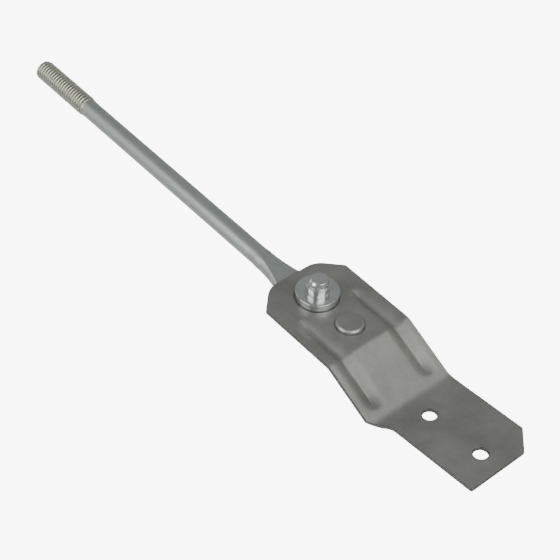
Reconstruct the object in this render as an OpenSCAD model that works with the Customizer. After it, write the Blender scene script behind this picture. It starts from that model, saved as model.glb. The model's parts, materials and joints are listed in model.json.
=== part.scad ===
// Pivoting threaded rod on an offset mounting bracket.
//
// The mounting flat lies on z = 0 with the middle of its two holes at the origin.
// From there the sheet climbs toward -X, and the rod continues toward -X.
// "Plate frame" below means the frame of the raised end of the bracket: origin where
// the pivot axis meets the top of the sheet, +X back toward the mounting flat, +Z the
// pivot axis.

/* [Bracket sheet] */
// Thickness of the sheet
sheet_t = 1.5; // [1.2:0.1:2]
// Width of the raised plate and the slope
plate_w = 35; // [33:0.5:40]
// Inner radius of the upper bend
bend_r = 2; // [1.5:0.5:3]
// Inner radius of the lower bend
foot_bend_r = 7; // [3:0.5:8]
// Climb of the slope above the mounting flat, degrees
slope_angle = 31.3; // [28:0.1:34]
// Climb of the raised plate above the mounting flat, degrees
plate_tilt = 6.3; // [4:0.1:8]
// Length of the slope between the bend corners, on the top surface
slope_len = 22.7; // [21:0.1:26]
// Upper bend corner to the pivot axis
pivot_back = 25.4; // [24.5:0.1:28]
// Pivot axis to the front edge of the nose
nose_len = 12.7; // [12:0.1:14]
// Leg of the 45 degree cuts on the nose
nose_cut = 7.5; // [6:0.5:9]
// Rounding between those cuts and the front edge
nose_r = 8; // [2:0.5:10]

/* [Mounting flat] */
// Distance between the two mounting holes
hole_pitch = 21.7; // [20:0.1:24]
// Diameter of the mounting holes
hole_d = 4.8; // [4:0.1:6]
// Lower bend corner to the near hole
hole_setback = 8.3; // [8:0.1:10]
// Far hole to the end of the flat
end_margin = 8.2; // [7.5:0.1:10]
// How far the flat is narrowed on one side
side_step = 5; // [3:0.5:6]
// Leg of the 45 degree cut on the wide side's corner
end_cut = 7; // [4:0.5:9]

/* [Stiffening beads] */
// Distance of each bead from the middle of the plate
bead_offset = 11.5; // [10.5:0.1:11.8]
// Width of the groove at the top surface
bead_w = 6.4; // [5:0.1:6.4]
// Depth of the groove
bead_depth = 1.3; // [1:0.1:1.5]
// Pivot axis to the front end of the groove
bead_start = 4; // [3:0.5:6]
// Lower end of the groove, measured along the slope
bead_end = 21; // [18:0.5:21]

/* [Rod] */
// Major diameter of the thread
thread_d = 7.94; // [7.9:0.01:8]
// Length of the thread
thread_len = 32; // [20:1:40]
// Diameter of the plain rod
rod_d = 7.05; // [6.9:0.05:7.4]
// Pivot axis to the threaded tip
rod_len = 162.5; // [120:0.5:220]
// Thickness of the flattened eye
eye_t = 3.1; // [2.8:0.1:3.4]
// Outside diameter of the eye
eye_d = 15; // [14:0.5:15.5]
// Pivot axis to the place where the flattening starts
flare_start = 29.5; // [26:0.5:34]
// Pivot axis to the place where the full flatness is reached
flare_end = 11.5; // [10:0.5:13]

/* [Pivot] */
// Diameter of the pivot rivet's shank
shank_d = 7; // [6.6:0.1:7.4]
// Running clearance round the shank and on both faces of the eye
run_gap = 0.05; // [0.04:0.01:0.08]
// Diameter of the washer on top of the bracket
washer_d = 14.8; // [14:0.1:15]
// Thickness of the washer on top of the bracket
washer_t = 2.8; // [2.2:0.1:3]
// Thickness of the spacer between bracket and eye
spacer_t = 1.3; // [1.2:0.1:1.6]
// Thickness of the keeper strap under the eye
strap_t = 1.5; // [1.2:0.1:1.6]
// Width of the keeper strap
strap_w = 13.6; // [12:0.2:14]

/* [Strap rivet] */
// Pivot axis to the strap rivet
strap_rivet_x = 16; // [15.8:0.1:16.5]
// Diameter of its flat head on top of the bracket
strap_head_d = 9.5; // [8:0.1:10]
// Height of that head
strap_head_h = 1.4; // [0.8:0.1:1.8]
// Diameter of its shank
strap_shank_d = 5; // [4:0.1:5.5]

/* [Hidden] */
$fn = 64;
over = 1;                                    // how far cutters run past a face
arc_steps = 8;                               // straight steps in each sheet bend and corner

steel = "dimgray";
zinc = "lightsteelblue";

flat_len = hole_setback + hole_pitch + end_margin;
bend_low = [-hole_pitch / 2 - hole_setback, sheet_t];
bend_high = bend_low + slope_len * [-cos(slope_angle), sin(slope_angle)];
pivot_top = bend_high + pivot_back * [-cos(plate_tilt), sin(plate_tilt)];

eye_z = -sheet_t - spacer_t - run_gap - eye_t / 2;   // rod axis in the plate frame
strap_z = eye_z - eye_t / 2 - run_gap;               // top of the strap under the eye

groove_r = (pow(bead_w / 2, 2) + pow(bead_depth, 2)) / (2 * bead_depth);
groove_lift = groove_r - bead_depth;                 // groove axis above the sheet

// Points of an arc about c
function arc(c, r, from, to) =
    [for (i = [0:arc_steps]) c + r * [cos(from + (to - from) * i / arc_steps),
                                      sin(from + (to - from) * i / arc_steps)]];

// Side view of the bent sheet, with its underside depth below the top surface
function sheet_profile(depth) =
    let (upper = bend_r + sheet_t,
         turn = slope_angle - plate_tilt,
         low = [bend_low[0] + foot_bend_r * tan(slope_angle / 2), sheet_t + foot_bend_r],
         high = bend_high + upper * tan(turn / 2) * [cos(slope_angle), -sin(slope_angle)]
                - upper * [sin(slope_angle), cos(slope_angle)],
         nose = pivot_top + nose_len * [-cos(plate_tilt), sin(plate_tilt)],
         down = -depth * [sin(plate_tilt), cos(plate_tilt)],
         end_x = bend_low[0] + flat_len)
    concat([nose],
           arc(high, upper, 90 - plate_tilt, 90 - slope_angle),
           arc(low, foot_bend_r, -90 - slope_angle, -90),
           [[end_x, sheet_t], [end_x, sheet_t - depth]],
           arc(low, foot_bend_r + depth, -90, -90 - slope_angle),
           arc(high, upper - depth, 90 - slope_angle, 90 - plate_tilt),
           [nose + down]);

// Moves its children from the plate frame to their place
module plate_frame() {
    translate([pivot_top[0], 0, pivot_top[1]])
        rotate([0, plate_tilt, 0])
            children();
}

// Moves its children to the top of the slope: +X runs down the slope
module slope_frame() {
    translate([bend_high[0], 0, bend_high[1]])
        rotate([0, slope_angle, 0])
            children();
}

// Sheet cross-section drawn across the whole width
module sheet(depth) {
    rotate([90, 0, 0])
        linear_extrude(height = plate_w, center = true)
            polygon(sheet_profile(depth));
}

// Round bar along +X from x0 to x1
module bar(r, x0, x1) {
    translate([x0, 0, 0])
        rotate([0, 90, 0])
            cylinder(r = r, h = x1 - x0);
}

// Straight run of a bead along +X, with a ball end at the origin
module bead_run(r, length) {
    rotate([0, 90, 0])
        rotate_extrude()
            intersection() {
                union() {
                    circle(r = r);
                    square([r, length]);
                }
                translate([0, -r])
                    square([r, length + r]);
            }
}

// Both runs of one bead. Each goes on past the bend, where the other run covers it
module bead_bar(r, side) {
    past = 3;
    short = groove_lift * tan((slope_angle - plate_tilt) / 2);
    x_front = bead_start + bead_w / 2;
    x_low = bead_end - bead_w / 2;
    plate_frame()
        translate([x_front, side * bead_offset, groove_lift])
            bead_run(r, pivot_back + short + past - x_front);
    slope_frame()
        translate([x_low, side * bead_offset, groove_lift])
            mirror([1, 0, 0])
                bead_run(r, x_low + short + past);
}

// What is cut from one front corner of the nose: 45 degrees, rounded toward the front edge
module nose_corner(side) {
    round_y = plate_w / 2 - nose_cut - nose_r * tan(22.5);
    front = -nose_len - over;
    beside = plate_w / 2 + over;
    plate_frame()
        mirror([0, side > 0 ? 0 : 1, 0])
            translate([0, 0, -plate_w / 2])
                linear_extrude(height = plate_w)
                    polygon(concat([[front, beside], [front, round_y]],
                                   arc([nose_r - nose_len, round_y], nose_r, 180, 135),
                                   [[nose_cut - nose_len + over, beside]]));
}

// What is trimmed from the mounting flat, seen from above
module flat_trim() {
    end_x = bend_low[0] + flat_len;
    half = plate_w / 2;
    step_x = [bend_low[0] - 1.7, bend_low[0] + 4.5]; // where the slanted step starts and ends
    translate([0, 0, -over])
        linear_extrude(height = slope_len) {
            polygon([[step_x[0], -half],
                     [step_x[1], side_step - half],
                     [end_x + over, side_step - half],
                     [end_x + over, -half - over],
                     [step_x[0], -half - over]]);
            polygon([[end_x - end_cut, half],
                     [end_x, half - end_cut],
                     [end_x + over, half - end_cut],
                     [end_x + over, half + over],
                     [end_x - end_cut, half + over]]);
        }
}

module bracket_plate() {
    color(steel)
        difference() {
            union() {
                sheet(sheet_t);
                for (side = [-1, 1])
                    intersection() {
                        sheet(sheet_t + bead_depth + 0.2);
                        bead_bar(groove_r + sheet_t, side);
                    }
            }
            for (side = [-1, 1]) {
                bead_bar(groove_r, side);
                nose_corner(side);
            }
            flat_trim();
            for (x = [-hole_pitch / 2, hole_pitch / 2])
                translate([x, 0, -over])
                    cylinder(d = hole_d, h = sheet_t + 2 * over);
            plate_frame()
                for (hole = [[0, shank_d], [strap_rivet_x, strap_shank_d]])
                    translate([hole[0], 0, -sheet_t - over])
                        cylinder(d = hole[1], h = sheet_t + 2 * over);
        }
}

// Flattened end of the rod: the eye's disc, its flat neck and the taper to round
module rod_eye() {
    neck_half = 6.4;                                 // half the width where the taper ends
    edge_r = eye_t / 2;
    translate([0, 0, -eye_t / 2]) {
        cylinder(d = eye_d, h = eye_t);
        linear_extrude(height = eye_t)
            polygon([[-flare_end, -neck_half], [0, -eye_d / 2],
                     [0, eye_d / 2], [-flare_end, neck_half]]);
    }
    hull() {
        bar(rod_d / 2, -flare_start - 0.5, -flare_start);
        for (side = [-1, 1])
            translate([0, side * (neck_half - edge_r), 0])
                bar(edge_r, -flare_end, -flare_end + 0.5, $fn = 32);
    }
}

module pivot_rod() {
    tip_cut = 1.2;                                   // length of the cone on the tip
    color(zinc)
        plate_frame()
            translate([0, 0, eye_z])
                difference() {
                    union() {
                        bar(rod_d / 2, thread_len - rod_len, -flare_start);
                        bar(thread_d / 2, tip_cut - rod_len, thread_len - rod_len);
                        translate([-rod_len, 0, 0])
                            rotate([0, 90, 0])
                                cylinder(r1 = thread_d / 2 - tip_cut, r2 = thread_d / 2, h = tip_cut);
                        rod_eye();
                    }
                    translate([0, 0, -eye_t])
                        cylinder(d = shank_d + 2 * run_gap, h = 2 * eye_t);
                }
}

// Shank, factory head under the strap, and the stepped round head that holds the washer
module pivot_rivet() {
    foot_r = 6.5;                                    // factory head
    foot_h = 2.6;
    head_r = 4.1;                                    // round head over the washer
    head_h = 3.2;
    nub_r = 3.45;                                    // nub at its root and at its top
    nub_top_r = 2.8;
    nub_h = 2.2;
    foot_z = strap_z - strap_t;
    color(zinc)
        plate_frame()
            rotate_extrude()
                polygon([[0, foot_z - foot_h],
                         [foot_r - 1, foot_z - foot_h],
                         [foot_r, foot_z - foot_h + 1],
                         [foot_r, foot_z],
                         [shank_d / 2, foot_z],
                         [shank_d / 2, washer_t],
                         [head_r, washer_t],
                         [head_r, washer_t + head_h],
                         [nub_r, washer_t + head_h],
                         [nub_top_r, washer_t + head_h + nub_h],
                         [0, washer_t + head_h + nub_h]]);
}

// Flat ring with the given outside diameter, resting on height z
module ring(outer_d, inner_d, z, h) {
    translate([0, 0, z])
        difference() {
            cylinder(d = outer_d, h = h);
            translate([0, 0, -over])
                cylinder(d = inner_d, h = h + 2 * over);
        }
}

module pivot_washer() {
    color(zinc)
        plate_frame()
            ring(washer_d, shank_d, 0, washer_t);
}

module spacer_washer() {
    color(zinc)
        plate_frame()
            ring(eye_d - 1, shank_d, -sheet_t - spacer_t, spacer_t);
}

// Strap under the eye: its rear foot lies against the bracket behind the eye
module keeper_strap() {
    front_r = strap_w / 2;
    foot_end = strap_rivet_x + 5.5;
    riser_x = [9.3, 11.1];                           // bottom and top of the riser
    skew = [1.1, 0.9];                               // how the riser's back is set over
    under = -sheet_t;
    color(steel)
        plate_frame()
            difference() {
                union() {
                    rotate([90, 0, 0])
                        linear_extrude(height = strap_w, center = true)
                            polygon([[0, strap_z], [riser_x[0], strap_z],
                                     [riser_x[1], under], [foot_end, under],
                                     [foot_end, under - strap_t],
                                     [riser_x[1] + skew[0], under - strap_t],
                                     [riser_x[0] + skew[1], strap_z - strap_t],
                                     [0, strap_z - strap_t]]);
                    translate([0, 0, strap_z - strap_t])
                        cylinder(r = front_r, h = strap_t);
                }
                translate([0, 0, strap_z - strap_t - over])
                    cylinder(d = shank_d, h = strap_t + 2 * over);
                translate([strap_rivet_x, 0, under - strap_t - over])
                    cylinder(d = strap_shank_d, h = strap_t + 2 * over);
            }
}

module strap_rivet() {
    tail_r = 3.5;                                    // closed end under the strap
    tail_h = 1.5;
    edge = 0.5;                                      // cone round the flat head
    tail_z = -sheet_t - strap_t;
    color(steel)
        plate_frame()
            translate([strap_rivet_x, 0, 0])
                rotate_extrude()
                    polygon([[0, tail_z - tail_h],
                             [tail_r - edge, tail_z - tail_h],
                             [tail_r, tail_z - tail_h + edge],
                             [tail_r, tail_z],
                             [strap_shank_d / 2, tail_z],
                             [strap_shank_d / 2, 0],
                             [strap_head_d / 2, 0],
                             [strap_head_d / 2, strap_head_h - edge],
                             [strap_head_d / 2 - edge, strap_head_h],
                             [0, strap_head_h]]);
}

bracket_plate();
pivot_rod();
pivot_rivet();
pivot_washer();
spacer_washer();
keeper_strap();
strap_rivet();
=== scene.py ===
import json
import math

import bmesh
import bpy
import numpy as np
from mathutils import Matrix, Vector, geometry, noise


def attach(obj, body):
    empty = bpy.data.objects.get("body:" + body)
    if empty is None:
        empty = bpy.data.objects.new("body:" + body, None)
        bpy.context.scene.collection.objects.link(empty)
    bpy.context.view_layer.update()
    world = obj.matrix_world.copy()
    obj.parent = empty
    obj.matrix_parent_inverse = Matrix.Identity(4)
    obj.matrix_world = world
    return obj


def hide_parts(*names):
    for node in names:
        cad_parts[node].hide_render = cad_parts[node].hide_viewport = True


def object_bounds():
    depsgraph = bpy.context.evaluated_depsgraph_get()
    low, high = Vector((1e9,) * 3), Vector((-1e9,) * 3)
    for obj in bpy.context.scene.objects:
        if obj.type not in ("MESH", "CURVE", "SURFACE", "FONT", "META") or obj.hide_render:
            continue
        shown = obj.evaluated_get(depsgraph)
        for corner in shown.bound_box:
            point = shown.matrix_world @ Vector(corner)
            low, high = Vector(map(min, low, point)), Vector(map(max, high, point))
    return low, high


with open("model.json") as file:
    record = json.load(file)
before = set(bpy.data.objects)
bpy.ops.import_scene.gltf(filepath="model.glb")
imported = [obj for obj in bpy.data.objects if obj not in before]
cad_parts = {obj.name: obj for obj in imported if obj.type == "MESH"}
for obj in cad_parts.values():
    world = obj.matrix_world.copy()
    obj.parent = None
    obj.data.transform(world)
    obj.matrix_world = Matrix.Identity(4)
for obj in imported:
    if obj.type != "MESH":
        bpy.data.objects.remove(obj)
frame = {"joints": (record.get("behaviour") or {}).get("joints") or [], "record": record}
cad_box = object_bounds()

# --- Sizes, in millimetres unless a name says otherwise ---

MM = 0.001
ROW_MOUNTS = {m["name"]: m for m in frame["record"]["mounts"]}
PIVOT = frame["joints"][0]

SHEET_T = 1.5
PLATE_W = 35.0
BEND_R = 2.0                # inner radius of the bracket's upper bend
FOOT_BEND_R = 7.0           # and of its lower one
SLOPE_ANGLE = 31.3          # degrees above the mounting flat
PLATE_TILT = math.degrees(math.asin(PIVOT["axis"][0]))
SLOPE_LEN = 22.7
PIVOT_BACK = 25.4           # upper bend corner to the pivot
NOSE_LEN = 12.7
NOSE_CUT = 7.5
HOLE_PITCH = ROW_MOUNTS["mounting_holes"]["dims"]["spacing_x_mm"]
HOLE_R = ROW_MOUNTS["mounting_holes"]["dims"]["hole_r_mm"]
HOLE_SETBACK = 8.3          # lower bend corner to the near hole
END_MARGIN = 8.2

THREAD_R = ROW_MOUNTS["threaded_end"]["dims"]["r_mm"]
ROD_R = 3.525
ROD_LEN = 162.5
EYE_R = 7.5
EYE_HALF = 1.55
SPACER_T = 1.3
RUN_GAP = 0.05
SHANK_R = 3.5
WASHER_R = 7.4
WASHER_T = 2.8
STRAP_T = 1.5
STRAP_HALF = 6.8
STRAP_RIVET_X = 16.0
STRAP_SHANK_R = 2.5
STRAP_HEAD_R = 4.75

EYE_Z = -SHEET_T - SPACER_T - RUN_GAP - EYE_HALF
STRAP_Z = EYE_Z - EYE_HALF - RUN_GAP

# The plate frame: origin where the pivot axis meets the top of the sheet, +Z up the axis.
_up = Vector(PIVOT["axis"]).normalized()
_along = Vector((_up.z, 0, -_up.x))
PLATE = Matrix.Translation(PIVOT["pos_m"]) @ Matrix((_along, (0, 1, 0), _up)).transposed().to_4x4()


# --- Plain geometry ------------------------------------------------------------

def ease(share):
    """0 to 1 with a soft start and end."""
    share = min(max(share, 0), 1)
    return share * share * (3 - 2 * share)


def rounded(corners, closed=True, step=10.0):
    """Path through (x, y, radius) corners, each corner turned into an arc of its radius."""
    points = []
    count = len(corners)
    for i, (x, y, radius) in enumerate(corners):
        here = Vector((x, y))
        if radius == 0 or (not closed and i in (0, count - 1)):
            points.append(here)
            continue
        back = (Vector(corners[i - 1][:2]) - here).normalized()
        ahead = (Vector(corners[(i + 1) % count][:2]) - here).normalized()
        half = back.angle(ahead) / 2
        reach = radius / math.tan(half)
        centre = here + (back + ahead).normalized() * (radius / math.sin(half))
        first = here + back * reach - centre
        turn = (here + ahead * reach - centre).angle_signed(first)
        steps = max(1, math.ceil(abs(math.degrees(turn)) / step))
        for k in range(steps + 1):
            angle = turn * k / steps
            spun = Matrix.Rotation(angle, 2) @ first
            points.append(centre + spun)
    return points


def even(points, spacing, closed=True):
    """The same path with no stretch longer than spacing."""
    made = []
    for i, here in enumerate(points):
        if not closed and i == len(points) - 1:
            break
        there = points[(i + 1) % len(points)]
        if (there - here).length < 0.03:            # two arcs that meet
            continue
        steps = max(1, math.ceil((there - here).length / spacing))
        made += [here.lerp(there, k / steps) for k in range(steps)]
    return made if closed else made + [points[-1]]


def circle(x, y, radius, count=64):
    """A hole's edge, run clockwise so that the sheet lies on its left."""
    angles = [-2 * math.pi * k / count for k in range(count)]
    return [Vector((x + radius * math.cos(a), y + radius * math.sin(a))) for a in angles]


def inset(loop, distance):
    """The loop moved to its left by distance."""
    moved = []
    for i, here in enumerate(loop):
        before = (here - loop[i - 1]).normalized()
        after = (loop[(i + 1) % len(loop)] - here).normalized()
        left = Vector((-before.y - after.y, before.x + after.x)).normalized()
        stretch = max(0.5, left.dot(Vector((-before.y, before.x))))
        moved.append(here + left * (distance / stretch))
    return moved


def inside(points, loops):
    """Even-odd test of many points against all loops together."""
    x, y = points[:, 0], points[:, 1]
    odd = np.zeros(len(points), bool)
    for loop in loops:
        for i, a in enumerate(loop):
            b = loop[i - 1]
            if a.y == b.y:
                continue
            crosses = ((a.y > y) != (b.y > y)) & (x < (b.x - a.x) * (y - a.y) / (b.y - a.y) + a.x)
            odd ^= crosses
    return odd


def fill(loops, spacing):
    """Triangles over the region that the loops enclose. Returns points, faces and, for each
    loop, the numbers of its points."""
    edge = [p for loop in loops for p in loop]
    low = Vector((min(p.x for p in edge), min(p.y for p in edge)))
    high = Vector((max(p.x for p in edge), max(p.y for p in edge)))
    rows = int((high.y - low.y) / (spacing * 0.866)) + 1
    columns = int((high.x - low.x) / spacing) + 1
    grid = np.array([(low.x + (i + 0.5 * (j % 2)) * spacing, low.y + j * spacing * 0.866)
                     for j in range(rows) for i in range(columns)])
    grid = grid[inside(grid, loops)]
    rim = np.array([(p.x, p.y) for p in edge])
    clear = [np.hypot(*(rim - g).T).min() > 0.55 * spacing for g in grid]
    points = edge + [Vector(g) for g, keep in zip(grid, clear) if keep]
    links = []
    start = 0
    for loop in loops:
        links += [(start + i, start + (i + 1) % len(loop)) for i in range(len(loop))]
        start += len(loop)
    found = geometry.delaunay_2d_cdt(points, links, [], 0, 1e-6)
    corners = np.array([tuple(p) for p in found[0]])
    faces = np.array(found[2])
    keep = inside(corners[faces].mean(axis=1), loops)
    number = {old: new for new, olds in enumerate(found[3]) for old in olds}
    kept_loops = []
    start = 0
    for loop in loops:
        kept_loops.append([number[start + i] for i in range(len(loop))])
        start += len(loop)
    return found[0], [tuple(f) for f in faces[keep]], kept_loops


def piece(name, points, faces, body, slot_name, replaces, place=None, values=None):
    """A smooth-shaded mesh object from points in millimetres, riding on a CAD body."""
    mesh = bpy.data.meshes.new(name)
    mesh.from_pydata([Vector(p) * MM for p in points], [], faces)
    mesh.validate()
    whole = bmesh.new()
    whole.from_mesh(mesh)
    bmesh.ops.recalc_face_normals(whole, faces=whole.faces)
    whole.to_mesh(mesh)
    whole.free()
    for title, numbers in (values or {}).items():
        attribute = mesh.attributes.new(title, "FLOAT", "POINT")
        attribute.data.foreach_set("value", numbers)
    mesh.shade_smooth()
    made = bpy.data.objects.new(name, mesh)
    bpy.context.scene.collection.objects.link(made)
    if place is not None:
        made.matrix_world = place
    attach(made, body)
    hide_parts(replaces)
    return made


# --- Bent sheet ----------------------------------------------------------------

class Strip:
    """Side view of a bent sheet at half its thickness. Runs are (length, 0) for a straight
    stretch or (radius, turn in degrees) for a bend, turning up when positive."""

    def __init__(self, start, heading, runs):
        self.parts = []
        self.length = 0.0
        point = Vector(start)
        angle = math.radians(heading)
        for size, turn in runs:
            turn = math.radians(turn)
            length = size * abs(turn) if turn else size
            self.parts.append((self.length, length, point.copy(), angle, size, turn))
            point, angle = self.step(point, angle, size, turn, length)
            self.length += length

    @staticmethod
    def step(point, angle, size, turn, along):
        if not turn:
            return point + along * Vector((math.cos(angle), math.sin(angle))), angle
        side = math.copysign(1.0, turn)
        end = angle + side * along / size
        centre = point + side * size * Vector((-math.sin(angle), math.cos(angle)))
        return centre + side * size * Vector((math.sin(end), -math.cos(end))), end

    def at(self, along, y, height):
        """The point at a distance along the strip, across it, and above its middle."""
        start, _, point, angle, size, turn = next(
            (p for p in self.parts if along <= p[0] + p[1]), self.parts[-1])
        point, angle = self.step(point, angle, size, turn, along - start)
        return (point.x - height * math.sin(angle), y, point.y + height * math.cos(angle))


def sheet_piece(name, strip, loops, thickness, edge, dent, spacing, **facts):
    """A sheet with softened edges. loops are the outline (anticlockwise) and holes
    (clockwise) on the unrolled strip; dent(along, y) gives how far the sheet is pressed down."""
    arc = [math.radians(a) for a in (0, 30, 60, 90)]
    half = thickness / 2
    profile = [(edge * (1 - math.sin(a)), half - edge * (1 - math.cos(a))) for a in arc]
    profile += [(p, -h) for p, h in reversed(profile)]
    flat, faces, rims = fill([inset(loop, 2 * edge) for loop in loops], spacing)
    plan = [tuple(p) for p in flat]
    points = []
    rim_value = []

    def add(along, y, height, value):
        points.append(strip.at(along, y, height - dent(along, y)))
        rim_value.append(value)
        return len(points) - 1

    top = [add(x, y, half, 0.0) for x, y in plan]
    bottom = [add(x, y, -half, 0.0) for x, y in plan]
    solid = [tuple(top[i] for i in f) for f in faces]
    solid += [tuple(bottom[i] for i in reversed(f)) for f in faces]
    for loop, rim in zip(loops, rims):
        rings = [[top[i] for i in rim]]
        for pull, height in profile:
            # rim marks the rounded edge rings, softer where they meet the faces; the steel paint
            # lays painted shade along the cut edges with it
            value = 0.4 if pull > edge * 0.9 else 1.0
            rings.append([add(p.x, p.y, height, value) for p in inset(loop, pull)])
        rings.append([bottom[i] for i in rim])
        for upper, lower in zip(rings, rings[1:]):
            count = len(upper)
            solid += [(upper[i], lower[i], lower[(i + 1) % count], upper[(i + 1) % count])
                      for i in range(count)]
    return piece(name, points, solid, values={"rim": rim_value}, **facts)


def bracket_plate():
    upper_reach = (BEND_R + SHEET_T) * math.tan(math.radians(SLOPE_ANGLE - PLATE_TILT) / 2)
    lower_reach = FOOT_BEND_R * math.tan(math.radians(SLOPE_ANGLE) / 2)
    flat_len = HOLE_SETBACK + HOLE_PITCH + END_MARGIN
    nose = PLATE @ Vector((-NOSE_LEN * MM, 0, -SHEET_T / 2 * MM)) / MM
    strip = Strip((nose.x, nose.z), -PLATE_TILT, [
        (NOSE_LEN + PIVOT_BACK - upper_reach, 0),
        (BEND_R + SHEET_T / 2, PLATE_TILT - SLOPE_ANGLE),
        (SLOPE_LEN - upper_reach - lower_reach, 0),
        (FOOT_BEND_R + SHEET_T / 2, SLOPE_ANGLE),
        (flat_len - lower_reach, 0)])
    pivot = NOSE_LEN                                # places along the unrolled strip
    slope = strip.parts[2][0] - upper_reach
    low_bend = strip.parts[4][0] - lower_reach
    end = strip.length
    half = PLATE_W / 2

    step_from = slope + SLOPE_LEN - 2.0             # the flat is narrower on one side
    step_to = low_bend + 4.5
    narrow = half - 5.0
    end_cut = 7.0
    nose_r = 8.0
    step_r = 4.5
    corner_r = 1.0
    spacing = 0.6                                   # of the mesh's points
    outline = rounded([
        (0, half - NOSE_CUT, nose_r),
        (0, NOSE_CUT - half, nose_r),
        (NOSE_CUT, -half, corner_r - 0.2),
        (step_from, -half, corner_r + 0.2),
        (step_to, -narrow, step_r),
        (end, -narrow, corner_r - 0.1),
        (end, half - end_cut, corner_r),
        (end - end_cut, half, corner_r),
        (NOSE_CUT, half, corner_r + 0.2)])
    loops = [even(outline, spacing)]
    first_hole = low_bend + HOLE_SETBACK
    for along in (first_hole, first_hole + HOLE_PITCH):
        loops.append(circle(along, 0, HOLE_R))
    loops.append(circle(pivot, 0, SHANK_R))
    loops.append(circle(pivot + STRAP_RIVET_X, 0, STRAP_SHANK_R))

    bead_y = 11.5
    bead_half = 4.2
    bead_depth = 1.4
    bead_from = pivot + 4.0
    bead_to = slope + 18.0
    fade_in = 5.0
    fade_out = 7.0
    blunt = 0.12                                    # rounds the bead's bottom line

    def dent(along, y):
        """A bead is steepest at its bottom and eases out toward its shoulders. Its front
        end is narrow and shallow, its rear end round and fading."""
        grown = ease((along - bead_from) / fade_in)
        past = max(along - bead_to, 0) * 1.15
        away = math.hypot(past, abs(y) - bead_y) / (bead_half * (0.6 + 0.4 * grown))
        away = (math.hypot(away, blunt) - blunt) / (math.hypot(1, blunt) - blunt)
        if away >= 1 or grown <= 0:
            return 0.0
        left = ease((bead_to + fade_out / 2 - along) / fade_out)
        return bead_depth * grown * left * (1 - away) ** 1.8

    return sheet_piece("bracket_sheet", strip, loops, SHEET_T, 0.22, dent, spacing,
                       body="bracket", slot_name="plate_steel", replaces="bracket_plate")


def keeper_strap():
    riser = (9.3, 11.1)                             # x of the riser's bottom and top corners
    inner = 1.0
    drop = -SHEET_T - STRAP_Z
    angle = math.degrees(math.atan2(drop, riser[1] - riser[0]))
    low_reach = inner * math.tan(math.radians(angle) / 2)
    high_reach = (inner + STRAP_T) * math.tan(math.radians(angle) / 2)
    mid = inner + STRAP_T / 2
    foot_end = STRAP_RIVET_X + 5.5
    foot_r = 2.5
    almost = 0.01                                   # keeps the round end's two arcs apart
    spacing = 0.7
    strip = Strip((-STRAP_HALF, STRAP_Z - STRAP_T / 2), 0, [
        (STRAP_HALF + riser[0] - low_reach, 0),
        (mid, angle),
        (math.hypot(drop, riser[1] - riser[0]) - low_reach - high_reach, 0),
        (mid, -angle),
        (foot_end - riser[1] - high_reach, 0)])
    end = strip.length
    loops = [even(rounded([
        (0, STRAP_HALF, STRAP_HALF - almost),
        (0, -STRAP_HALF, STRAP_HALF - almost),
        (end, -STRAP_HALF, foot_r),
        (end, STRAP_HALF, foot_r)]), spacing - 0.1)]
    loops.append(circle(STRAP_HALF, 0, SHANK_R))
    loops.append(circle(end - foot_end + STRAP_RIVET_X, 0, STRAP_SHANK_R))
    return sheet_piece("keeper_strap_sheet", strip, loops, STRAP_T, 0.2,
                       lambda along, y: 0.0, spacing, body="bracket",
                       slot_name="plate_steel", replaces="keeper_strap", place=PLATE)


# --- Turned and headed pieces --------------------------------------------------

def turned(name, corners, closed=False, x=0.0, segments=120, uneven=None, **facts):
    """Solid of revolution about an axis of the plate frame. corners are (radius, height,
    rounding), from the bottom up, starting and ending on the axis unless closed."""
    path = rounded(corners, closed, step=15.0)
    points = []
    rings = []
    for p in path:
        if p.x < 1e-6:
            points.append((x, 0, p.y))
            rings.append([len(points) - 1] * segments)
            continue
        ring = []
        for k in range(segments):
            angle = 2 * math.pi * k / segments
            place = Vector((p.x * math.cos(angle), p.x * math.sin(angle), p.y))
            place += uneven(place) if uneven else Vector((0, 0, 0))
            points.append(place + Vector((x, 0, 0)))
            ring.append(len(points) - 1)
        rings.append(ring)
    pairs = list(zip(rings, rings[1:] + rings[:1])) if closed else list(zip(rings, rings[1:]))
    faces = []
    for low, high in pairs:
        for k in range(segments):
            n = (k + 1) % segments
            face = list(dict.fromkeys((low[k], low[n], high[n], high[k])))
            faces.append(tuple(face))
    return piece(name, points, faces, body="bracket", place=PLATE, **facts)


def pivot_rivet():
    foot_z = STRAP_Z - STRAP_T
    foot_r = 6.5
    foot_h = 2.6
    head_r = 4.1
    head_z = WASHER_T + 3.2
    nub_r = 3.4
    nub_top_r = 2.8
    top_z = head_z + 2.2

    def peened(place):
        """The nub leans a little and its top is slightly lumpy."""
        if place.z < head_z + 0.01:
            return Vector((0, 0, 0))
        lean = (place.z - head_z) / (top_z - head_z) * 0.4
        lump = noise.noise(place * 0.9) * 0.12 + noise.noise(place * 2.3) * 0.05
        if place.z < top_z - 0.5:
            lump = 0
        return Vector((0.65 * lean, 0.75 * lean, min(lump, 0.0)))

    return turned("pivot_rivet_body", [
        (0, foot_z - foot_h, 0),
        (foot_r - 0.6, foot_z - foot_h, 1.2),
        (foot_r, foot_z - 0.8, 1.0),
        (foot_r, foot_z, 0.15),
        (SHANK_R, foot_z, 0),
        (SHANK_R, WASHER_T, 0),
        (head_r, WASHER_T, 0.06),
        (head_r, head_z, 0.3),
        (nub_r, head_z, 0.2),
        (nub_r - 0.1, head_z + 1.1, 0.8),
        (nub_top_r, top_z, 0.35),
        (nub_top_r - 0.8, top_z - 0.12, 0.5),
        (0, top_z - 0.05, 0)],
        uneven=peened, slot_name="zinc_bright", replaces="pivot_rivet")


def ring_piece(name, outer, inner, low, high, edge, **facts):
    """A flat washer between two heights."""
    return turned(name, [
        (inner, low, edge / 2),
        (outer, low, edge),
        (outer, high, edge),
        (inner, high, edge / 2)], closed=True, **facts)


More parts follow.
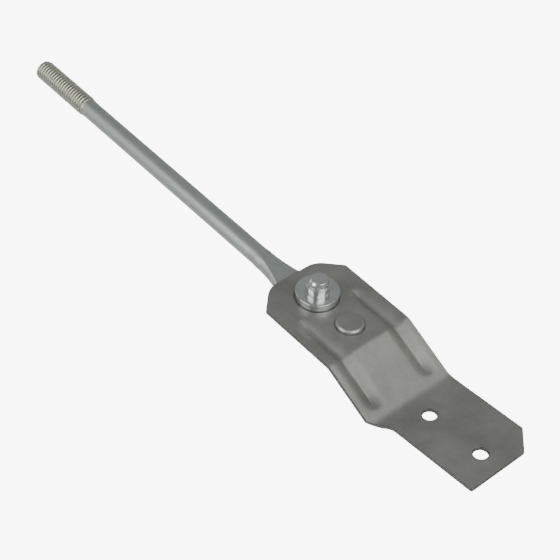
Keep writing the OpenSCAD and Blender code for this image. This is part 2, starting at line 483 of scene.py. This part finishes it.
def strap_rivet():
    tail_z = -SHEET_T - STRAP_T
    tail_r = 3.5
    tail_h = 1.5
    head_top = 1.4
    return turned("strap_rivet_body", [
        (0, tail_z - tail_h, 0),
        (tail_r - 0.6, tail_z - tail_h, 0.5),
        (tail_r, tail_z - 0.8, 0.5),
        (tail_r, tail_z, 0.1),
        (STRAP_SHANK_R, tail_z, 0),
        (STRAP_SHANK_R, 0, 0),
        (STRAP_HEAD_R, 0, 0.08),
        (STRAP_HEAD_R, head_top - 0.65, 0.15),
        (STRAP_HEAD_R - 0.5, head_top, 0.2),
        (2.6, head_top - 0.05, 1.0),
        (0, head_top - 0.07, 0)],
        x=STRAP_RIVET_X, slot_name="rivet_steel", replaces="strap_rivet")


# --- Rod -----------------------------------------------------------------------

THREAD_LEN = 32.0
PITCH = 25.4 / 18
ROOT_R = THREAD_R - 0.61 * PITCH
TIP_R = THREAD_R - 1.5
FLARE_START = 29.5
FLARE_END = 11.5
FLAT_STEPS = 28             # mesh steps across the flat and round the side of a section
SIDE_STEPS = 8
BORE_STEPS = 72


def section(flat, half, bulge):
    """One cross-section of the rod as (y, z) points: two flats of half width flat at
    +-half, joined by side arcs that bulge out past the flats' ends."""
    side_r = (bulge ** 2 + half ** 2) / (2 * bulge)
    sweep = 2 * (math.pi - math.asin(half / side_r)) if bulge > half else 2 * math.asin(
        min(1, half / side_r))
    side_len = side_r * sweep
    round_len = 4 * flat + 2 * side_len
    centre = flat + bulge - side_r
    last_flat, last_side = 0.387, 0.113             # shares of the perimeter at the eye
    shares = [last_flat * (k / FLAT_STEPS - 0.5) for k in range(FLAT_STEPS)]
    shares += [last_flat / 2 + last_side * k / SIDE_STEPS for k in range(SIDE_STEPS)]
    shares += [s + 0.5 for s in shares]
    points = []
    for share in shares:
        at = (share % 1.0) * round_len
        mirror = 1.0
        if at > round_len / 2:
            at = round_len - at
            mirror = -1.0
        if at < flat:
            y, z = at, half
        elif at < flat + side_len:
            angle = (at - flat - side_len / 2) / side_r
            y = centre + side_r * math.cos(angle)
            z = -side_r * math.sin(angle)
        else:
            y, z = 2 * flat + side_len - at, -half
        points.append((mirror * y, z))
    return points


def flare(x):
    """(flat, half, bulge) of the section at x, between round rod and flat neck."""
    share = min(max((x + FLARE_START) / (FLARE_START - FLARE_END), 0), 1)
    eased = ease(share) * 0.35 + share * 0.65
    half = ROD_R + (EYE_HALF - ROD_R) * eased
    if share <= 0:
        return 0.0, ROD_R, ROD_R
    area = math.pi * ROD_R ** 2
    spread = math.pi * (ROD_R ** 2 - half ** 2) / (4 * half)
    flat = spread + 0.40 * half * min(1, share * 4)
    bulge = max(0.35, (area - 4 * flat * half) / (8 / 3 * half) - 0.1 * share)
    if share < 0.25:                                # ease out of the full circle
        bulge = bulge * share * 4 + (spread + half - flat) * (1 - share * 4)
    return flat, half, bulge


def thread_radius(x, angle):
    """Radius of the threaded part at x, measured from the tip, and at an angle."""
    phase = (x / PITCH - angle / (2 * math.pi)) % 1.0
    rise = 1 - abs(2 * phase - 1)
    rise = min(max((rise - 0.17) / 0.70, 0), 1)
    rise = 0.6 * rise + 0.4 * ease(rise)
    radius = ROOT_R + (THREAD_R - ROOT_R) * rise
    fade = min(max((THREAD_LEN - x) / (1.6 * PITCH), 0), 1)
    radius = ROD_R + (radius - ROD_R) * fade
    lead = min(x, 3.0)
    chamfer = TIP_R + 1.3 * lead - 0.18 * lead * lead
    return min(radius, chamfer)


def pivot_rod():
    points = []
    depth = []                                      # 1 in the thread's root, 0 on its crest
    rings = []

    def ring(x, outline, roots=None):
        rings.append(list(range(len(points), len(points) + len(outline))))
        points.extend((x, y, EYE_Z + z) for y, z in outline)
        depth.extend(roots or [0.0] * len(outline))

    count = 2 * (FLAT_STEPS + SIDE_STEPS)
    around = [math.atan2(z, y) for y, z in section(0.0, ROD_R, ROD_R)]
    for dip, share in ((0.25, 0.3), (0.08, 0.8)):    # the end face is a little hollow
        ring(dip - ROD_LEN, [(share * TIP_R * math.cos(a), share * TIP_R * math.sin(a))
                             for a in around])
    turn_steps = 14
    steps = round(THREAD_LEN / PITCH * turn_steps)
    for k in range(steps + 1):
        x = THREAD_LEN * k / steps
        radii = [thread_radius(x, a) for a in around]
        ring(x - ROD_LEN,
             [(r * math.cos(a), r * math.sin(a)) for r, a in zip(radii, around)],
             [max(0.0, (ROD_R - r) / (ROD_R - ROOT_R)) for r in radii])
    shank_from = THREAD_LEN - ROD_LEN
    shank_steps = 40
    for k in range(1, shank_steps):
        x = shank_from + (-FLARE_START - shank_from) * k / shank_steps
        ring(x, section(0.0, ROD_R, ROD_R))
    flare_steps = 36
    for k in range(flare_steps + 1):
        x = -FLARE_START + (FLARE_START - FLARE_END) * k / flare_steps
        ring(x, section(*flare(x)))

    faces = [tuple(reversed(rings[0]))]
    for low, high in zip(rings, rings[1:]):
        faces += [(low[k], high[k], high[(k + 1) % count], low[(k + 1) % count])
                  for k in range(count)]

    # The neck and eye are flat on both faces, with the side arc carried round their edge.
    flat, half, bulge = flare(-FLARE_END)
    lean_from = (-FLARE_END, flat)
    eye_flat = EYE_R - bulge
    gap = math.hypot(*lean_from)
    tangent = math.atan2(lean_from[1], lean_from[0]) - math.acos(eye_flat / gap)
    arc_steps = 40
    rim = [Vector((-FLARE_END, flat))]
    rim += even([Vector((-FLARE_END, flat)),
                 Vector((eye_flat * math.cos(tangent), eye_flat * math.sin(tangent)))],
                0.8, closed=False)[1:-1]
    rim += [Vector((eye_flat * math.cos(a), eye_flat * math.sin(a)))
            for a in (tangent - 2 * tangent * k / arc_steps for k in range(arc_steps + 1))]
    rim += [Vector((p.x, -p.y)) for p in reversed(rim[:len(rim) - arc_steps - 1])]
    neck = [Vector((-FLARE_END, -flat + 2 * flat * k / FLAT_STEPS)) for k in range(1, FLAT_STEPS)]
    outer = list(reversed(rim))
    bore_edge = 0.2
    bore_r = SHANK_R + RUN_GAP
    outline = outer + list(reversed(neck))
    bore = circle(0, 0, bore_r + bore_edge, BORE_STEPS)
    plan, tris, loops = fill([outline, bore], 0.8)

    last = rings[-1]
    top_of = {}
    bottom_of = {}
    for number, p in enumerate(plan):
        on_neck = abs(p.x + FLARE_END) < 1e-6
        step = round((p.y + flat) / (2 * flat) * FLAT_STEPS)
        if on_neck:
            top_of[number] = last[step % count]
            bottom_of[number] = last[(FLAT_STEPS + SIDE_STEPS + FLAT_STEPS - step) % count]
            continue
        points.extend(((p.x, p.y, EYE_Z + half), (p.x, p.y, EYE_Z - half)))
        depth.extend((0.0, 0.0))
        top_of[number], bottom_of[number] = len(points) - 2, len(points) - 1
    faces += [tuple(top_of[i] for i in t) for t in tris]
    faces += [tuple(bottom_of[i] for i in reversed(t)) for t in tris]

    side_r = (bulge ** 2 + half ** 2) / (2 * bulge)
    sweep = math.asin(half / side_r)
    outer_numbers = loops[0][:len(outer)]
    columns = []
    for i, number in enumerate(outer_numbers):
        if i in (0, len(outer_numbers) - 1):
            first = 0 if i == 0 else FLAT_STEPS
            side = [last[(first + (-k if i == 0 else k)) % count] for k in range(SIDE_STEPS + 1)]
            columns.append(side)
            continue
        here = plan[number]
        along = (plan[outer_numbers[i + 1]] - plan[outer_numbers[i - 1]]).normalized()
        out = Vector((along.y, -along.x))
        column = [top_of[number]]
        for k in range(1, SIDE_STEPS):
            angle = sweep * (1 - 2 * k / SIDE_STEPS)
            reach = side_r * math.cos(angle) - side_r + bulge
            points.append((here.x + out.x * reach, here.y + out.y * reach,
                           EYE_Z + side_r * math.sin(angle)))
            depth.append(0.0)
            column.append(len(points) - 1)
        column.append(bottom_of[number])
        columns.append(column)
    for a, b in zip(columns, columns[1:]):
        faces += [(a[k], a[k + 1], b[k + 1], b[k]) for k in range(SIDE_STEPS)]

    bore_rings = [[top_of[i] for i in loops[1]]]
    for height in (half - bore_edge, bore_edge - half):
        start = len(points)
        wall = circle(0, 0, bore_r, BORE_STEPS)
        points.extend((p.x, p.y, EYE_Z + height) for p in wall)
        depth.extend([0.0] * len(wall))
        bore_rings.append(list(range(start, start + len(wall))))
    bore_rings.append([bottom_of[i] for i in loops[1]])
    for upper, lower in zip(bore_rings, bore_rings[1:]):
        faces += [(upper[k], lower[k], lower[(k + 1) % BORE_STEPS], upper[(k + 1) % BORE_STEPS])
                  for k in range(BORE_STEPS)]
    return piece("pivot_rod_bar", points, faces, "rod", "zinc_rod", "pivot_rod",
                 place=PLATE, values={"root": depth})


# --- Materials -----------------------------------------------------------------

class Paint:
    """A material's node tree with short calls for the nodes used here."""

    def __init__(self, name, colour, metallic, roughness):
        self.material = bpy.data.materials.new(name)
        self.material.use_nodes = True
        self.nodes = self.material.node_tree.nodes
        self.links = self.material.node_tree.links
        self.shader = self.nodes["Principled BSDF"]
        self.shader.inputs["Base Color"].default_value = (*colour, 1)
        self.shader.inputs["Metallic"].default_value = metallic
        self.shader.inputs["Roughness"].default_value = roughness
        self.coords = self.nodes.new("ShaderNodeTexCoord").outputs["Object"]
        self.normal = None

    def join(self, source, target):
        self.links.new(source, target)

    def stretched(self, scale):
        node = self.nodes.new("ShaderNodeMapping")
        node.inputs["Scale"].default_value = scale
        self.join(self.coords, node.inputs["Vector"])
        return node.outputs["Vector"]

    def noise(self, scale, detail=4.0, roughness=0.6, vector=None):
        node = self.nodes.new("ShaderNodeTexNoise")
        node.inputs["Scale"].default_value = scale
        node.inputs["Detail"].default_value = detail
        node.inputs["Roughness"].default_value = roughness
        self.join(vector or self.coords, node.inputs["Vector"])
        return node.outputs["Fac"]

    def distance(self, centre):
        node = self.nodes.new("ShaderNodeVectorMath")
        node.operation = "DISTANCE"
        self.join(self.coords, node.inputs[0])
        node.inputs[1].default_value = centre
        return node.outputs["Value"]

    def attribute(self, name):
        node = self.nodes.new("ShaderNodeAttribute")
        node.attribute_name = name
        return node.outputs["Fac"]

    def spread(self, source, low, high, to_low, to_high):
        node = self.nodes.new("ShaderNodeMapRange")
        for title, value in (("From Min", low), ("From Max", high),
                             ("To Min", to_low), ("To Max", to_high)):
            node.inputs[title].default_value = value
        self.join(source, node.inputs["Value"])
        return node.outputs["Result"]

    def mix(self, factor, first, second, mode="MIX"):
        node = self.nodes.new("ShaderNodeMix")
        node.data_type = "RGBA"
        node.blend_type = mode
        self.join(factor, node.inputs["Factor"])
        for value, socket in ((first, node.inputs[6]), (second, node.inputs[7])):
            if isinstance(value, tuple):
                socket.default_value = (*value, 1)
            else:
                self.join(value, socket)
        return node.outputs[2]

    def maths(self, operation, first, second):
        node = self.nodes.new("ShaderNodeMath")
        node.operation = operation
        for value, socket in ((first, node.inputs[0]), (second, node.inputs[1])):
            if isinstance(value, (int, float)):
                socket.default_value = value
            else:
                self.join(value, socket)
        return node.outputs[0]

    def bump(self, height, strength, distance_mm):
        node = self.nodes.new("ShaderNodeBump")
        node.inputs["Strength"].default_value = strength
        node.inputs["Distance"].default_value = distance_mm * MM
        self.join(height, node.inputs["Height"])
        if self.normal:
            self.join(self.normal, node.inputs["Normal"])
        self.normal = node.outputs["Normal"]
        self.join(self.normal, self.shader.inputs["Normal"])


def plate_steel(name, colour, lighter, roughness, contact_shade_rings=()):
    """Bare rolled sheet: mottled grey, faint rolling lines, painted shade darkening its cut edges,
    and a painted contact shadow round each (centre, radius) ring where a head sits on the sheet."""
    paint = Paint(name, colour, 0.85, 0.45)
    mottle = paint.noise(55, 6, 0.65)
    lines = paint.noise(1.0, 5, 0.6, paint.stretched((60, 900, 300)))
    grain = paint.noise(1400, 3, 0.7)
    tone = paint.mix(paint.spread(mottle, 0.35, 0.65, 0, 1), colour, lighter)
    darker = tuple(c * 0.78 for c in colour)
    tone = paint.mix(paint.spread(lines, 0.52, 0.75, 0, 0.35), tone, lighter)
    tone = paint.mix(paint.spread(grain, 0.55, 0.8, 0, 0.4), tone, darker)
    dark = tuple(c * 0.2 for c in colour)
    # painted shade: the cut edges (rim attribute) are darkened toward a near-black copy of the
    # colour
    tone = paint.mix(paint.spread(paint.attribute("rim"), 0.3, 1, 0, 0.8), tone, dark)
    # painted contact shadow: a dark ring on the sheet round each head that sits on it
    for centre, radius in contact_shade_rings:
        gap = paint.maths("ABSOLUTE", paint.maths("SUBTRACT", paint.distance(centre),
                                                  radius * MM), 0)
        tone = paint.mix(paint.spread(gap, 0.05 * MM, 0.35 * MM, 0.7, 0), tone, dark)
    paint.join(tone, paint.shader.inputs["Base Color"])
    rough = paint.spread(paint.maths("ADD", mottle, grain), 0.7, 1.3, *roughness)
    paint.join(rough, paint.shader.inputs["Roughness"])
    paint.bump(grain, 0.35, 0.03)
    paint.bump(lines, 0.25, 0.03)
    paint.bump(paint.noise(120, 2), 0.3, 0.12)
    return paint.material


def zinc_rod():
    """Satin zinc over drawn bar: long fine lines, warmer over the thread, with painted shade
    darkening its roots.
    """
    colour = (0.54, 0.585, 0.57)
    paint = Paint("zinc_rod", colour, 0.95, 0.34)
    lines = paint.noise(1.0, 4, 0.6, paint.stretched((25, 1600, 1600)))
    cloud = paint.noise(90, 4)
    tone = paint.mix(paint.spread(cloud, 0.35, 0.65, 0, 1), colour, (0.46, 0.50, 0.48))
    tone = paint.mix(paint.spread(lines, 0.55, 0.75, 0, 0.4), tone, (0.66, 0.71, 0.70))
    threaded = paint.nodes.new("ShaderNodeSeparateXYZ")
    paint.join(paint.coords, threaded.inputs[0])
    start = (THREAD_LEN - ROD_LEN) * MM
    warm = paint.spread(threaded.outputs["X"], start - 0.002, start + 0.002, 0.8, 0)
    tone = paint.mix(warm, tone, (0.64, 0.64, 0.52))
    # painted shade: the thread's roots (root attribute) are darkened to near black
    tone = paint.mix(paint.spread(paint.attribute("root"), 0.15, 0.85, 0, 1), tone,
                     (0.07, 0.07, 0.05))
    paint.join(tone, paint.shader.inputs["Base Color"])
    satin = paint.spread(cloud, 0.3, 0.7, 0.28, 0.42)
    polish = paint.spread(threaded.outputs["X"], start - 0.002, start + 0.002, 0.45, 1)
    paint.join(paint.maths("MULTIPLY", satin, polish), paint.shader.inputs["Roughness"])
    paint.bump(lines, 0.3, 0.02)
    paint.bump(paint.noise(700, 3), 0.2, 0.02)
    return paint.material


def zinc_bright():
    """Bright zinc on turned faces: fine rings round the pivot axis, a faint haze, and a painted
    contact shadow where the washer meets the sheet.
    """
    colour = (0.68, 0.71, 0.69)
    paint = Paint("zinc_bright", colour, 1.0, 0.2)
    split = paint.nodes.new("ShaderNodeSeparateXYZ")
    paint.join(paint.coords, split.inputs[0])
    square = paint.maths("ADD", paint.maths("MULTIPLY", split.outputs["X"], split.outputs["X"]),
                         paint.maths("MULTIPLY", split.outputs["Y"], split.outputs["Y"]))
    radius = paint.maths("SQRT", square, 0)
    rings = paint.maths("SINE", paint.maths("MULTIPLY", radius, 2 * math.pi / (0.28 * MM)), 0)
    haze = paint.noise(160, 5)
    tone = paint.mix(paint.spread(haze, 0.35, 0.7, 0, 1), colour, (0.58, 0.61, 0.59))
    # painted contact shadow: base colour near black within 0.3 mm of the sheet's top
    foot = paint.maths("ABSOLUTE", split.outputs["Z"], 0)   # dark where the washer meets the sheet
    tone = paint.mix(paint.spread(foot, 0.05 * MM, 0.3 * MM, 0.7, 0), tone, (0.08, 0.085, 0.08))
    paint.join(tone, paint.shader.inputs["Base Color"])
    paint.join(paint.spread(haze, 0.3, 0.7, 0.1, 0.22), paint.shader.inputs["Roughness"])
    paint.bump(rings, 0.12, 0.01)
    paint.bump(paint.noise(900, 3), 0.12, 0.02)
    return paint.material


# --- Studio --------------------------------------------------------------------

LAMP_DISTANCE = 0.9         # metres


def direction(azimuth, elevation):
    """Unit vector toward a place round the object. Azimuth 0 is on the -Y side, 90 on +X."""
    a, e = math.radians(azimuth), math.radians(elevation)
    return Vector((math.sin(a) * math.cos(e), -math.cos(a) * math.cos(e), math.sin(e)))


def studio():
    low, high = cad_box
    middle = (low + high) / 2
    bpy.ops.mesh.primitive_plane_add(size=6, location=(middle.x, 0, low.z))
    floor = bpy.context.object
    floor.name = "floor"
    floor.visible_glossy = False
    paint = Paint("floor", (0.86, 0.86, 0.86), 0.0, 0.9)
    haze = paint.noise(3, 2)
    tone = paint.mix(haze, (0.90, 0.90, 0.90), (0.88, 0.88, 0.88))
    paint.join(tone, paint.shader.inputs["Base Color"])
    paint.shader.inputs["Emission Color"].default_value = (1, 1, 1, 1)
    paint.shader.inputs["Emission Strength"].default_value = 8.0
    floor.data.materials.append(paint.material)

    world = bpy.data.worlds.new("studio")
    bpy.context.scene.world = world
    world.use_nodes = True
    nodes, links = world.node_tree.nodes, world.node_tree.links
    nodes["Background"].inputs["Color"].default_value = (0.96, 0.98, 1.0, 1)
    split = nodes.new("ShaderNodeSeparateXYZ")
    links.new(nodes.new("ShaderNodeTexCoord").outputs["Generated"], split.inputs[0])
    fall = nodes.new("ShaderNodeMapRange")          # a touch brighter near the horizon
    for title, value in (("From Min", -0.1), ("From Max", 0.35),
                         ("To Min", 0.36), ("To Max", 0.34)):
        fall.inputs[title].default_value = value
    links.new(split.outputs["Z"], fall.inputs["Value"])
    links.new(fall.outputs["Result"], nodes["Background"].inputs["Strength"])

    def softbox(name, azimuth, elevation, size, watts):
        back = direction(azimuth, elevation)
        light = bpy.data.lights.new(name, "AREA")
        light.shape = "RECTANGLE"
        light.size, light.size_y = size
        light.energy = watts
        lamp = bpy.data.objects.new(name, light)
        lamp.location = middle + back * LAMP_DISTANCE
        lamp.rotation_mode = "QUATERNION"
        lamp.rotation_quaternion = (-back).to_track_quat("-Z", "Y")
        bpy.context.scene.collection.objects.link(lamp)

    softbox("near_left_box", -6, 30, (0.66, 0.8), 4.2)
    softbox("near_right_box", 88, 30, (0.72, 0.8), 4.4)
    softbox("left_box", -64, 20, (0.6, 0.9), 0.7)
    softbox("back_box", 146, 56, (0.28, 0.28), 0.38)


def camera():
    """The view from the bracket's mounting end, to one side and looking down at 40 degrees."""
    aim = Vector(PIVOT["pos_m"]) + Vector((-12.15, -5.54, 2.32)) * MM
    back = direction(50.76, 40.04)
    roll = Matrix.Rotation(math.radians(-1.564), 3, "Z").to_quaternion()
    distance = 0.45
    data = bpy.data.cameras.new("camera")
    data.sensor_width = 36.0
    data.lens = 87.7
    data.clip_start = 0.01
    shot = bpy.data.objects.new("camera", data)
    shot.location = aim + back * distance
    shot.rotation_mode = "QUATERNION"
    shot.rotation_quaternion = (-back).to_track_quat("-Z", "Y") @ roll
    bpy.context.scene.collection.objects.link(shot)
    bpy.context.scene.camera = shot


# --- Assembly ------------------------------------------------------------------

camera()
studio()
# rings of painted contact shadow on the plate round the pivot washer and the strap rivet head
contact_shade_gap = 0.1
contact_shade_rings = [(PLATE @ Vector((0, 0, 0)), WASHER_R + contact_shade_gap),
         (PLATE @ Vector((STRAP_RIVET_X * MM, 0, 0)), STRAP_HEAD_R + contact_shade_gap)]
steel = plate_steel("plate_steel", (0.295, 0.297, 0.268), (0.38, 0.384, 0.35), (0.36, 0.5),
                    contact_shade_rings)
rivet_paint = plate_steel("rivet_steel", (0.31, 0.313, 0.288), (0.39, 0.394, 0.37), (0.3, 0.42))
bright = zinc_bright()
rod_paint = zinc_rod()

bracket_plate().data.materials.append(steel)
keeper_strap().data.materials.append(steel)
pivot_rod().data.materials.append(rod_paint)
pivot_rivet().data.materials.append(bright)
ring_piece("pivot_washer_ring", WASHER_R, SHANK_R, 0.0, WASHER_T, 0.25,
           slot_name="zinc_bright", replaces="pivot_washer").data.materials.append(bright)
ring_piece("spacer_washer_ring", EYE_R - 0.5, SHANK_R, -SHEET_T - SPACER_T, -SHEET_T, 0.15,
           slot_name="zinc_bright", replaces="spacer_washer").data.materials.append(bright)
strap_rivet().data.materials.append(rivet_paint)
